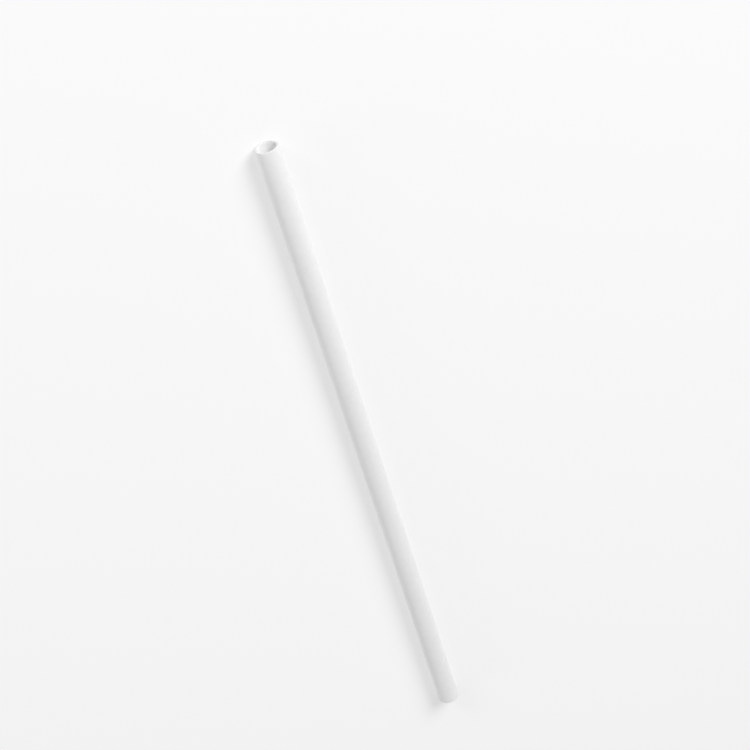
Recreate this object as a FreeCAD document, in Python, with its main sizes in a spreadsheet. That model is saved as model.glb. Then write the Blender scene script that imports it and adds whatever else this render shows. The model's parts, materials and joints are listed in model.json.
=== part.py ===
import FreeCAD, Part
import os
import Sketcher

# A plain white paper drinking straw, with no sleeve round it. Three strips of paper are wound in a
# spiral on a mandrel and glued, one ply over another, and the tube is cut square to length, so the
# straw is one piece. Each turn of the outer strip lies a hair's breadth from the turn before, and glue
# fills the gap almost to the top, which leaves a fine spiral seam all along the straw. The straw lies
# on its side along X, with the middle of its length over the origin. Lengths are in millimetres and
# angles in degrees.

doc = FreeCAD.newDocument("drinking_straw")

# Driving dimensions: alias, value, meaning
DIMENSIONS = [
    ("straw_length", 197.0, "from one cut end to the other"),
    ("outer_diameter", 6.0, "over the outer ply"),
    ("outer_ply", 0.14, "thickness of the paper outside"),
    ("middle_ply", 0.13, "thickness of the paper between"),
    ("inner_ply", 0.13, "thickness of the paper that lines the bore"),
    ("winding_angle", 42.0, "between a strip's edge and the straw's axis"),
    ("seam_gap", 0.08, "between two turns of the outer strip, square to its edge"),
    ("glue_level", 0.05, "from the outside of the straw down to the glue in the seam"),
    ("edge_bevel", 0.05, "that the knife leaves on a cut edge, inside and out"),
]

sheet = doc.addObject("Spreadsheet::Sheet", "sizes")
for row, (alias, value, meaning) in enumerate(DIMENSIONS, start=1):
    sheet.set(f"A{row}", str(value))
    sheet.setAlias(f"A{row}", alias)
    sheet.set(f"B{row}", meaning)
doc.recompute()

# Sizes that follow from the driving ones, in words that the sketches' expressions use
OUTER_RADIUS = "(sizes.outer_diameter / 2)"
WALL = "(sizes.outer_ply + sizes.middle_ply + sizes.inner_ply)"
BORE_RADIUS = f"({OUTER_RADIUS} - {WALL})"
SEAM_PITCH = "(pi * sizes.outer_diameter / tan(sizes.winding_angle))"
HALF_LENGTH = "(sizes.straw_length / 2)"
# The seam's cutter starts a quarter of a turn before one end and stops as far past the other
RUN_IN = f"({SEAM_PITCH} / 4)"

# How a sketch numbers its own origin, and the sides of a rectangle in the order that they are drawn
ORIGIN_POINT = (-1, 1)
LOW, RIGHT, HIGH, LEFT = range(4)


def origin_feature(body, role):
    for feature in body.Origin.OriginFeatures:
        if feature.Role == role:
            return feature
    raise ValueError(f"no {role} in {body.Label}")


def rectangle_sketch(body, name, left, right, low, high):
    # A rectangle in the plane of the axis, with X along the straw and Y the distance from its axis.
    # Its low side runs from left to right, and the others on round from there.
    sketch = body.newObject("Sketcher::SketchObject", name)
    sketch.AttachmentSupport = (origin_feature(body, "XZ_Plane"), [""])
    sketch.MapMode = "FlatFace"
    corners = [(left, low), (right, low), (right, high), (left, high)]
    for side in (LOW, RIGHT, HIGH, LEFT):
        start = FreeCAD.Vector(*corners[side], 0)
        end = FreeCAD.Vector(*corners[(side + 1) % 4], 0)
        sketch.addGeometry(Part.LineSegment(start, end), False)
    for side in (LOW, RIGHT, HIGH, LEFT):
        sketch.addConstraint(Sketcher.Constraint("Coincident", side, 2, (side + 1) % 4, 1))
        direction = "Vertical" if side in (RIGHT, LEFT) else "Horizontal"
        sketch.addConstraint(Sketcher.Constraint(direction, side))
    return sketch


def bind(sketch, name, constraint, expression):
    index = sketch.addConstraint(constraint)
    sketch.renameConstraint(index, name)
    sketch.setExpression(f"Constraints.{name}", expression)


def wound_wall(body):
    # The glued plies as one tube: a long, thin rectangle turned about X
    half, bore, outside = 98.5, 2.6, 3.0
    sketch = rectangle_sketch(body, "wall_section", -half, half, bore, outside)
    bind(sketch, "tube_length",
         Sketcher.Constraint("DistanceX", LOW, 1, LOW, 2, 2 * half), "sizes.straw_length")
    bind(sketch, "half_length",
         Sketcher.Constraint("DistanceX", LOW, 1, *ORIGIN_POINT, half), HALF_LENGTH)
    bind(sketch, "outer_radius",
         Sketcher.Constraint("DistanceY", *ORIGIN_POINT, HIGH, 1, outside), OUTER_RADIUS)
    bind(sketch, "wall_thickness",
         Sketcher.Constraint("DistanceY", RIGHT, 1, RIGHT, 2, outside - bore), WALL)
    tube = body.newObject("PartDesign::Revolution", "wall")
    tube.Profile = sketch
    tube.ReferenceAxis = (origin_feature(body, "X_Axis"), [""])
    tube.Angle = 360
    return tube


def cut_edges(body, tube):
    # The knife leaves the four circles at the two ends a little blunt
    circles = [f"Edge{number}" for number, edge in enumerate(tube.Shape.Edges, start=1)
               if isinstance(edge.Curve, Part.Circle)]
    bevel = body.newObject("PartDesign::Chamfer", "cut_edges")
    bevel.Base = (tube, circles)
    bevel.setExpression("Size", "sizes.edge_bevel")
    return bevel


def wound_seam(body):
    # The open top of the gap between two turns of the outer strip. It winds along the whole straw, and
    # its middle leaves the -X end straight to the -Y side of the axis. The cutter stands as far clear
    # of the wall as it cuts into it.
    width = "(sizes.seam_gap / sin(sizes.winding_angle))"
    start = f"({HALF_LENGTH} + {RUN_IN} + {width} / 2)"
    left, right, floor, top = -104.0, -103.9, 2.95, 3.05
    sketch = rectangle_sketch(body, "seam_section", left, right, floor, top)
    bind(sketch, "gap_along_axis",
         Sketcher.Constraint("DistanceX", LOW, 1, LOW, 2, right - left), width)
    bind(sketch, "start",
         Sketcher.Constraint("DistanceX", LOW, 1, *ORIGIN_POINT, -left), start)
    bind(sketch, "floor_radius",
         Sketcher.Constraint("DistanceY", *ORIGIN_POINT, LOW, 1, floor), f"{OUTER_RADIUS} - sizes.glue_level")
    bind(sketch, "cutter_depth",
         Sketcher.Constraint("DistanceY", RIGHT, 1, RIGHT, 2, top - floor), "2 * sizes.glue_level")
    seam = body.newObject("PartDesign::SubtractiveHelix", "outer_seam")
    seam.Profile = sketch
    seam.ReferenceAxis = (origin_feature(body, "X_Axis"), [""])
    seam.Mode = "pitch-height-angle"
    seam.setExpression("Pitch", SEAM_PITCH)
    seam.setExpression("Height", f"{HALF_LENGTH} + {start} + {RUN_IN}")
    return seam


def drinking_straw():
    body = doc.addObject("PartDesign::Body", "straw")
    tube = wound_wall(body)
    doc.recompute()
    bevel = cut_edges(body, tube)
    doc.recompute()
    seam = wound_seam(body)
    # The straw lies on the surface that the origin is on
    body.setExpression("Placement.Base.z", OUTER_RADIUS)
    doc.recompute()
    for before, cut in ((tube, bevel), (bevel, seam)):
        print(cut.Label, "takes away", round(before.Shape.Volume - cut.Shape.Volume, 4), "mm3")
        if cut.Shape.Volume >= before.Shape.Volume:
            raise ValueError(f"{cut.Label} cuts nothing")
    return body


sub_parts = [drinking_straw()]
doc.recompute()

for item in doc.Objects:
    if "Invalid" in item.State or "Error" in item.State:
        raise ValueError(f"{item.Label} failed: {item.State}")
for part in sub_parts:
    if part.Shape.isNull() or not part.Shape.isValid():
        raise ValueError(f"{part.Label} has no sound shape")

os.makedirs("parts", exist_ok=True)
for part in sub_parts:
    part.Shape.exportStep(f"parts/{part.Label}.step")
    print(part.Label, len(part.Shape.Solids), "solid,", round(part.Shape.Volume, 2), "mm3")
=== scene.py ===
import json
import math
import bmesh
import bpy
from mathutils import Matrix, Vector

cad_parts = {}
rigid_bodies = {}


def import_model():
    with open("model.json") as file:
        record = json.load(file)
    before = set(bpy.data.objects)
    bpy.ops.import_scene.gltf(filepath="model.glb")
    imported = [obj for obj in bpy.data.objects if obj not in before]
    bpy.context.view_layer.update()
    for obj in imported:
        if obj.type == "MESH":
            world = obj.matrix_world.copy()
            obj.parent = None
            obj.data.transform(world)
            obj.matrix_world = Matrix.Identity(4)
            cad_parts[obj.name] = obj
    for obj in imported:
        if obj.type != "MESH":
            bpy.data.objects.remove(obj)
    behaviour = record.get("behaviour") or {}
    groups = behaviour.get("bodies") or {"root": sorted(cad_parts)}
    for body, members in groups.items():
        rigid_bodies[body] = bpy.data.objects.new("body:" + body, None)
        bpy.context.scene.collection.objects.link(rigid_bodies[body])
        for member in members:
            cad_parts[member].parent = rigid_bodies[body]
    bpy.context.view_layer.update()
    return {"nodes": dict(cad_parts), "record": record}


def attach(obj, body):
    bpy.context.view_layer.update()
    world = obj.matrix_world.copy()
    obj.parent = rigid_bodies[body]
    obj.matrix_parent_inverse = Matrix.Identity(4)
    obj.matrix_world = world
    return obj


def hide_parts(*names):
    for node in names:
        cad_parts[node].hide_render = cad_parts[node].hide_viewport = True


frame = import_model()
print("frame loaded:", list(frame["nodes"]))

mm = 0.001
mounts = {mount["name"]: mount for mount in frame["record"]["mounts"]}

straw = {
    "length": mounts["outside"]["dims"]["length_mm"] * mm,
    "outerRadius": mounts["outside"]["dims"]["r_mm"] * mm,
    "boreRadius": mounts["bore"]["dims"]["r_mm"] * mm,
    "axisHeight": mounts["bore"]["pos_m"][2],
    "windingAngle": math.radians(42),   # between a strip's edge and the axis
    "outerSeam": math.pi,               # where the outer seam leaves the -X end, 0 being +Y
    "innerSeam": 0.0,                   # and the inner one
    "seamDepth": 0.05 * mm,             # down to the glue that fills the gap between two turns
    "gapReach": math.radians(0.6),      # half of the gap's floor
    "lipReach": math.radians(1.1),      # half of what the softened lips take in
    "lipDrop": 0.012 * mm,
    "finePoints": 720,                  # round a ring, before it is thinned out
    "keepEvery": 10,                    # points that stay, away from the seams
    "fineReach": math.radians(3),       # either side of a seam, where all stay
    "rows": 380,                        # along the straw, each a little further round
    "plies": 3,                         # that show on a cut end
    "glueSegments": 2,                  # across the line between two plies
    "rimSegments": 3,                   # round a rim
    "knifeRound": 0.03 * mm,            # on the rims of a cut end
    "glueLine": 0.012 * mm,             # half the width of the line between two plies
    "glueDepth": 0.03 * mm,
    "rimSlack": 1.5,                    # seam depths that a rim may lie off its wall
    "cutFacing": 0.9,                   # how squarely a face of a cut end looks along the straw
    "cutMargin": 1.01,                  # knife rounds from the end that show the cut paper, given a darker white as painted shade
    "shadedGlueFrom": 0.9,                    # of the seam's depth, where the glue floor begins, painted darker as shade in the groove
    "smoothUnder": math.radians(38),
    "onEnd": 0.001 * mm,                # as near as a point of an end lies to it
    "sameTurn": 0.001,                  # radians round the axis that count as none
    "onStep": 0.01,                     # steps round a ring that count as none
}
straw["pitch"] = 2 * math.pi * straw["outerRadius"] / math.tan(straw["windingAngle"])
straw["midWall"] = (straw["outerRadius"] + straw["boreRadius"]) / 2
halfLength = straw["length"] / 2
seamRise = 2 * math.pi / straw["pitch"]     # how far a seam turns for each metre along


def takeUp(obj):
    if bpy.context.mode != "OBJECT":
        bpy.ops.object.mode_set(mode="OBJECT")
    bpy.ops.object.select_all(action="DESELECT")
    bpy.context.view_layer.objects.active = obj
    obj.select_set(True)


def pick(obj, kind, wanted):
    # leaves edit mode on, with the wanted points or edges selected
    takeUp(obj)
    bpy.ops.object.mode_set(mode="EDIT")
    bpy.ops.mesh.select_mode(type=kind)
    bpy.ops.mesh.select_all(action="DESELECT")
    drawn = bmesh.from_edit_mesh(obj.data)
    for item in drawn.verts if kind == "VERT" else drawn.edges:
        item.select = wanted(item)
    drawn.select_flush_mode()
    bmesh.update_edit_mesh(obj.data)


def pickPoints(obj, wanted):
    pick(obj, "VERT", lambda point: wanted(point.co))


def pickEdges(obj, wanted):
    pick(obj, "EDGE", wanted)


def pickAll(obj):
    pickPoints(obj, lambda place: True)


def aroundAxis(place):
    return math.atan2(place.z, place.y)     # 0 is +Y, and a quarter turn is up


def fromAxis(place):
    return math.hypot(place.y, place.z)


def between(angle, other):
    return abs((angle - other + math.pi) % (2 * math.pi) - math.pi)


def makeRing(name, radius, seam, into):
    # the outline of one wall at the -X end, with its seam pressed in
    bpy.ops.object.select_all(action="DESELECT")
    bpy.ops.mesh.primitive_circle_add(vertices=straw["finePoints"], radius=radius,
                                      location=(-halfLength, 0, 0), rotation=(0, math.pi / 2, 0))
    ring = bpy.context.active_object
    ring.name = name
    bpy.ops.object.transform_apply(location=True, rotation=True, scale=True)
    step = 2 * math.pi * straw["keepEvery"] / straw["finePoints"]

    def spare(place):
        turns = aroundAxis(place) / step
        nearSeam = min(between(aroundAxis(place), straw["outerSeam"]),
                       between(aroundAxis(place), straw["innerSeam"]))
        return abs(turns - round(turns)) > straw["onStep"] and nearSeam > straw["fineReach"]

    pickPoints(ring, spare)
    bpy.ops.mesh.dissolve_verts()
    for reach, drop in ((straw["lipReach"], straw["lipDrop"]),
                        (straw["gapReach"], straw["seamDepth"] - straw["lipDrop"])):
        pickPoints(ring, lambda place: between(aroundAxis(place), seam) < reach)
        factor = 1 + into * drop / radius
        bpy.ops.transform.resize(value=(1, factor, factor), center_override=(-halfLength, 0, 0))
    bpy.ops.object.mode_set(mode="OBJECT")
    return ring


def windAlong(tube):
    # the rings are swept along X and turned as they go, so the edges follow the winding
    takeUp(tube)
    winding = tube.modifiers.new("winding", "SCREW")
    winding.axis = "X"
    winding.screw_offset = straw["length"]
    winding.angle = straw["length"] * seamRise
    winding.steps = straw["rows"]
    winding.render_steps = straw["rows"]
    bpy.ops.object.modifier_apply(modifier=winding.name)


def closeEnds(tube):
    # a bridge joins the two walls well only when they face opposite ways
    pickAll(tube)
    bpy.ops.mesh.normals_make_consistent(inside=False)
    pickPoints(tube, lambda place: fromAxis(place) < straw["midWall"])
    bpy.ops.mesh.flip_normals()
    for end in (-halfLength, halfLength):
        pickPoints(tube, lambda place: abs(place.x - end) < straw["onEnd"])
        bpy.ops.mesh.bridge_edge_loops(number_cuts=straw["plies"] - 1, interpolation="LINEAR",
                                       smoothness=0)
    # and the closed tube is then turned right side out
    pickAll(tube)
    bpy.ops.mesh.normals_make_consistent(inside=False)


def onCut(face):
    return abs(face.normal.x) > straw["cutFacing"]


def finishCuts(tube):
    # three plies show at a cut end, with a fine glue line between each two, and blunt rims
    def glueEdge(edge):
        low, high = edge.verts
        sameTurn = between(aroundAxis(low.co), aroundAxis(high.co)) < straw["sameTurn"]
        return not sameTurn and all(onCut(face) for face in edge.link_faces)

    def rimEdge(edge):
        # a wall's own edge, and none of the glue lines'
        reach = [fromAxis(point.co) for point in edge.verts]
        slack = straw["rimSlack"] * straw["seamDepth"]
        onOuter = min(reach) > straw["outerRadius"] - slack
        onBore = max(reach) < straw["boreRadius"] + slack
        return (onOuter or onBore) and sum(onCut(face) for face in edge.link_faces) == 1

    for end in (-1, 1):
        pickEdges(tube, lambda edge: edge.verts[0].co.x * end > 0 and glueEdge(edge))
        bpy.ops.mesh.bevel(offset=straw["glueLine"], segments=straw["glueSegments"], affect="EDGES")
        bpy.ops.mesh.select_less()
        bpy.ops.transform.translate(value=(-end * straw["glueDepth"], 0, 0))
    pickEdges(tube, rimEdge)
    bpy.ops.mesh.bevel(offset=straw["knifeRound"], segments=straw["rimSegments"], affect="EDGES")


def layStraw(tube):
    # down onto the floor, with its mesh where the frame has the straw
    pickAll(tube)
    bpy.ops.transform.translate(value=(0, 0, straw["axisHeight"]))
    takeUp(tube)
    bpy.ops.object.shade_smooth_by_angle(angle=straw["smoothUnder"])


def mapStrips(tube):
    # each wall is opened out flat along its own seam: u runs along the strip and v across it, in mm
    sheetMap = tube.data.uv_layers.new(name="strip")
    along, across = math.cos(straw["windingAngle"]), math.sin(straw["windingAngle"])
    for face in tube.data.polygons:
        centre = face.center - Vector((0, 0, straw["axisHeight"]))
        outside = fromAxis(centre) > straw["midWall"]
        seam = straw["outerSeam"] if outside else straw["innerSeam"]
        faceTurn = (aroundAxis(centre) - seam - (centre.x + halfLength) * seamRise) % (2 * math.pi)
        for corner in face.loop_indices:
            place = tube.data.vertices[tube.data.loops[corner].vertex_index].co
            place = place - Vector((0, 0, straw["axisHeight"]))
            turn = aroundAxis(place) - seam - (place.x + halfLength) * seamRise
            turn += 2 * math.pi * round((faceTurn - turn) / (2 * math.pi))
            reach = straw["outerRadius"] * turn
            sheetMap.data[corner].uv = ((place.x / along + reach * across) / mm, reach * along / mm)


def group(name, inputs, outputs):
    made = bpy.data.node_groups.new(name, "ShaderNodeTree")
    for label, kind, value in inputs:
        socket = made.interface.new_socket(name=label, in_out="INPUT", socket_type=kind)
        if value is not None:
            socket.default_value = value
    for label, kind in outputs:
        made.interface.new_socket(name=label, in_out="OUTPUT", socket_type=kind)
    return made, made.nodes.new("NodeGroupInput"), made.nodes.new("NodeGroupOutput")


def maths(tree, operation, first, second=None, third=None):
    node = tree.nodes.new("ShaderNodeMath")
    node.operation = operation
    for socket, value in zip(node.inputs, (first, second, third)):
        if value is None:
            continue
        if isinstance(value, (int, float)):
            socket.default_value = value
        else:
            tree.links.new(value, socket)
    return node.outputs["Value"]


def noise(tree, place, scale, detail, stretch=(1, 1, 1), turn=0.0):
    mapping = tree.nodes.new("ShaderNodeMapping")
    mapping.inputs["Scale"].default_value = stretch
    mapping.inputs["Rotation"].default_value = (0, 0, turn)
    tree.links.new(place, mapping.inputs["Vector"])
    cloud = tree.nodes.new("ShaderNodeTexNoise")
    cloud.inputs["Scale"].default_value = scale
    cloud.inputs["Detail"].default_value = detail
    tree.links.new(mapping.outputs["Vector"], cloud.inputs["Vector"])
    return cloud.outputs["Fac"]


grainLook = {
    "along": {"scale": 1.1, "detail": 3, "stretch": (0.9, 7, 1)},
    "crossing": {"scale": 1.1, "detail": 3, "stretch": (1.4, 6, 1), "turn": math.radians(63)},
    "clouds": {"scale": 0.55, "detail": 4},
    "tooth": {"scale": 14, "detail": 2},
    "cloudMean": 0.5,       # both means are taken off, so the paper keeps its white
    "fibreMean": 0.58,
    "share": 0.5,           # of each effect, where a material sets none
}


def paperGrain():
    # bleached paper: fibres that cross, a little cloudiness, and the tooth of the felt
    share = grainLook["share"]
    made, given, result = group(
        "paper grain",
        [("Place", "NodeSocketVector", None), ("Fibres", "NodeSocketFloat", share),
         ("Clouds", "NodeSocketFloat", share), ("Tooth", "NodeSocketFloat", share)],
        [("Height", "NodeSocketFloat"), ("Tone", "NodeSocketFloat")])
    place = given.outputs["Place"]
    along = noise(made, place, **grainLook["along"])
    crossing = noise(made, place, **grainLook["crossing"])
    fibres = maths(made, "MAXIMUM", along, crossing)
    clouds = noise(made, place, **grainLook["clouds"])
    tooth = noise(made, place, **grainLook["tooth"])
    height = maths(made, "MULTIPLY", fibres, given.outputs["Fibres"])
    height = maths(made, "MULTIPLY_ADD", tooth, given.outputs["Tooth"], height)
    tone = maths(made, "SUBTRACT", clouds, grainLook["cloudMean"])
    tone = maths(made, "MULTIPLY", tone, given.outputs["Clouds"])
    fleck = maths(made, "SUBTRACT", fibres, grainLook["fibreMean"])
    tone = maths(made, "MULTIPLY_ADD", fleck, given.outputs["Fibres"], tone)
    made.links.new(height, result.inputs["Height"])
    made.links.new(tone, result.inputs["Tone"])
    return made


papers = {
    "outerPaper": {"white": 0.86, "fibres": 0.14, "clouds": 0.05, "tooth": 0.12,
                   "roughness": 0.55, "depth": 0.06, "mapped": True},
    "innerPaper": {"white": 0.87, "fibres": 0.14, "clouds": 0.05, "tooth": 0.12,
                   "roughness": 0.65, "depth": 0.07, "mapped": True},
    # the cut ends: a darker white than the paper, painted shade against the lamps' light on the ends
    "shadedCutPaper": {"white": 0.66, "fibres": 0.14, "clouds": 0.05, "tooth": 0.20,
                 "roughness": 0.80, "depth": 0.06, "mapped": False},
    # the glue on the seam's floor: glossier, and darker as painted shade in the groove
    "shadedSeamGlue": {"white": 0.70, "fibres": 0.02, "clouds": 0.05, "tooth": 0.00,
                 "roughness": 0.40, "depth": 0.02, "mapped": True},
}

# thin paper lets a little light through, and its lighter places are a little smoother
thinPaper = {"through": 0.35, "radius": (1, 1, 1), "reach": 0.4 * mm, "roughByTone": -1.5}


def makePaper(name, grain):
    look = papers[name]
    material = bpy.data.materials.new(name)
    material.use_nodes = True
    tree = material.node_tree
    shader = tree.nodes["Principled BSDF"]
    coords = tree.nodes.new("ShaderNodeTexCoord")
    place = coords.outputs["UV"]
    if not look["mapped"]:
        inMillimetres = tree.nodes.new("ShaderNodeMapping")
        inMillimetres.inputs["Scale"].default_value = (1 / mm, 1 / mm, 1 / mm)
        tree.links.new(coords.outputs["Object"], inMillimetres.inputs["Vector"])
        place = inMillimetres.outputs["Vector"]
    fibre = tree.nodes.new("ShaderNodeGroup")
    fibre.node_tree = grain
    fibre.inputs["Fibres"].default_value = look["fibres"]
    fibre.inputs["Clouds"].default_value = look["clouds"]
    fibre.inputs["Tooth"].default_value = look["tooth"]
    tree.links.new(place, fibre.inputs["Place"])
    white = maths(tree, "ADD", fibre.outputs["Tone"], look["white"])
    colour = tree.nodes.new("ShaderNodeCombineColor")
    for channel in ("Red", "Green", "Blue"):
        tree.links.new(white, colour.inputs[channel])
    tree.links.new(colour.outputs["Color"], shader.inputs["Base Color"])
    rough = maths(tree, "MULTIPLY_ADD", fibre.outputs["Tone"], thinPaper["roughByTone"], look["roughness"])
    tree.links.new(rough, shader.inputs["Roughness"])
    shader.inputs["Subsurface Weight"].default_value = thinPaper["through"]
    shader.inputs["Subsurface Radius"].default_value = thinPaper["radius"]
    shader.inputs["Subsurface Scale"].default_value = thinPaper["reach"]
    bump = tree.nodes.new("ShaderNodeBump")
    bump.inputs["Strength"].default_value = 1.0
    bump.inputs["Distance"].default_value = look["depth"] * mm
    tree.links.new(fibre.outputs["Height"], bump.inputs["Height"])
    tree.links.new(bump.outputs["Normal"], shader.inputs["Normal"])
    return material


def paintStraw(tube):
    grain = paperGrain()
    for name in papers:
        tube.data.materials.append(makePaper(name, grain))
    outer, inner, cut, shadedGlue = range(4)
    for face in tube.data.polygons:
        centre = face.center - Vector((0, 0, straw["axisHeight"]))
        radius = fromAxis(centre)
        outside = radius > straw["midWall"]
        sunk = straw["outerRadius"] - radius if outside else radius - straw["boreRadius"]
        # the cut ends take a darker white than the paper, painted shade
        if halfLength - abs(centre.x) < straw["knifeRound"] * straw["cutMargin"]:
            face.material_index = cut
        # the seam's floor takes the glossier glue, darker as painted shade in the groove
        elif sunk > straw["seamDepth"] * straw["shadedGlueFrom"]:
            face.material_index = shadedGlue
        else:
            face.material_index = outer if outside else inner


def makeStraw():
    tube = makeRing("straw_tube", straw["outerRadius"], straw["outerSeam"], -1)
    lining = makeRing("lining", straw["boreRadius"], straw["innerSeam"], 1)
    takeUp(tube)
    lining.select_set(True)
    bpy.ops.object.join()
    windAlong(tube)
    closeEnds(tube)
    finishCuts(tube)
    layStraw(tube)
    mapStrips(tube)
    paintStraw(tube)
    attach(tube, "root")
    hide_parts("straw")
    print("straw wound:", len(tube.data.polygons), "faces")


studio = {
    "floorSize": 6.0,
    "floorWhite": 0.86,
    "floorSeen": 0.55,      # how much of its own shading the camera sees
    "backing": 0.436,       # over this much even white
    "skyLight": 0.39,
    "lamps": {
        "key": {"place": (1.25, -0.94, 0.95), "size": 0.90, "power": 26.7},
        "sideFill": {"place": (0.0, 1.60, 0.22), "size": 0.80, "power": 5.0},
        "frontFill": {"place": (1.60, 0.90, 0.62), "size": 0.80, "power": 8.0},
    },
}


def makeFloor():
    bpy.ops.object.select_all(action="DESELECT")
    bpy.ops.mesh.primitive_plane_add(size=studio["floorSize"], location=(0, 0, 0))
    floor = bpy.context.active_object
    floor.name = "studio_floor"
    material = bpy.data.materials.new("studioFloor")
    material.use_nodes = True
    tree = material.node_tree
    tree.nodes.remove(tree.nodes["Principled BSDF"])
    output = tree.nodes["Material Output"]
    matt = tree.nodes.new("ShaderNodeBsdfDiffuse")
    glow = tree.nodes.new("ShaderNodeEmission")
    rays = tree.nodes.new("ShaderNodeLightPath")
    seen = maths(tree, "MAXIMUM", rays.outputs["Is Camera Ray"], rays.outputs["Is Glossy Ray"])
    seen = maths(tree, "MAXIMUM", seen, rays.outputs["Is Transmission Ray"])
    shade = maths(tree, "MULTIPLY_ADD", seen, studio["floorSeen"] - studio["floorWhite"],
                  studio["floorWhite"])
    tree.links.new(shade, matt.inputs["Color"])
    tree.links.new(maths(tree, "MULTIPLY", seen, studio["backing"]), glow.inputs["Strength"])
    both = tree.nodes.new("ShaderNodeAddShader")
    tree.links.new(matt.outputs["BSDF"], both.inputs[0])
    tree.links.new(glow.outputs["Emission"], both.inputs[1])
    tree.links.new(both.outputs["Shader"], output.inputs["Surface"])
    floor.data.materials.append(material)


def makeSky():
    world = bpy.data.worlds.new("studioSky")
    bpy.context.scene.world = world
    world.use_nodes = True
    tree = world.node_tree
    sky = tree.nodes["Background"]
    rays = tree.nodes.new("ShaderNodeLightPath")
    seen = maths(tree, "MAXIMUM", rays.outputs["Is Camera Ray"], rays.outputs["Is Transmission Ray"])
    strength = maths(tree, "MULTIPLY_ADD", seen, 1 - studio["skyLight"], studio["skyLight"])
    tree.links.new(strength, sky.inputs["Strength"])
    sky.inputs["Color"].default_value = (1, 1, 1, 1)


def makeLamps():
    for name, look in studio["lamps"].items():
        lamp = bpy.data.lights.new(name, "AREA")
        lamp.shape = "DISK"
        lamp.size = look["size"]
        lamp.energy = look["power"]
        holder = bpy.data.objects.new(name, lamp)
        bpy.context.scene.collection.objects.link(holder)
        place = Vector(look["place"])
        holder.location = place
        holder.rotation_euler = (-place).to_track_quat("-Z", "Y").to_euler()


shot = {
    "place": Vector((0.3098, 0.0, 0.4003)),
    "aim": Vector((0.0218, -0.0084, 0.0)),
    "roll": math.radians(17.66),    # away from having the straw's +X end straight up
    "lens": 88.64,
    "sensor": 36,
    "nearest": 0.01,
}


def makeCamera():
    forward = (shot["aim"] - shot["place"]).normalized()
    reference = Vector((1, 0, 0))
    reference = (reference - forward * reference.dot(forward)).normalized()
    up = Matrix.Rotation(shot["roll"], 3, forward) @ reference
    right = forward.cross(up)
    lens = bpy.data.cameras.new("camera")
    lens.lens = shot["lens"]
    lens.sensor_width = shot["sensor"]
    lens.clip_start = shot["nearest"]
    camera = bpy.data.objects.new("camera", lens)
    bpy.context.scene.collection.objects.link(camera)
    turned = Matrix((right, up, -forward)).transposed().to_4x4()
    camera.matrix_world = Matrix.Translation(shot["place"]) @ turned
    bpy.context.scene.camera = camera


makeStraw()
makeFloor()
makeSky()
makeLamps()
makeCamera()
bpy.context.scene.view_settings.view_transform = "Standard"
print("studio set")
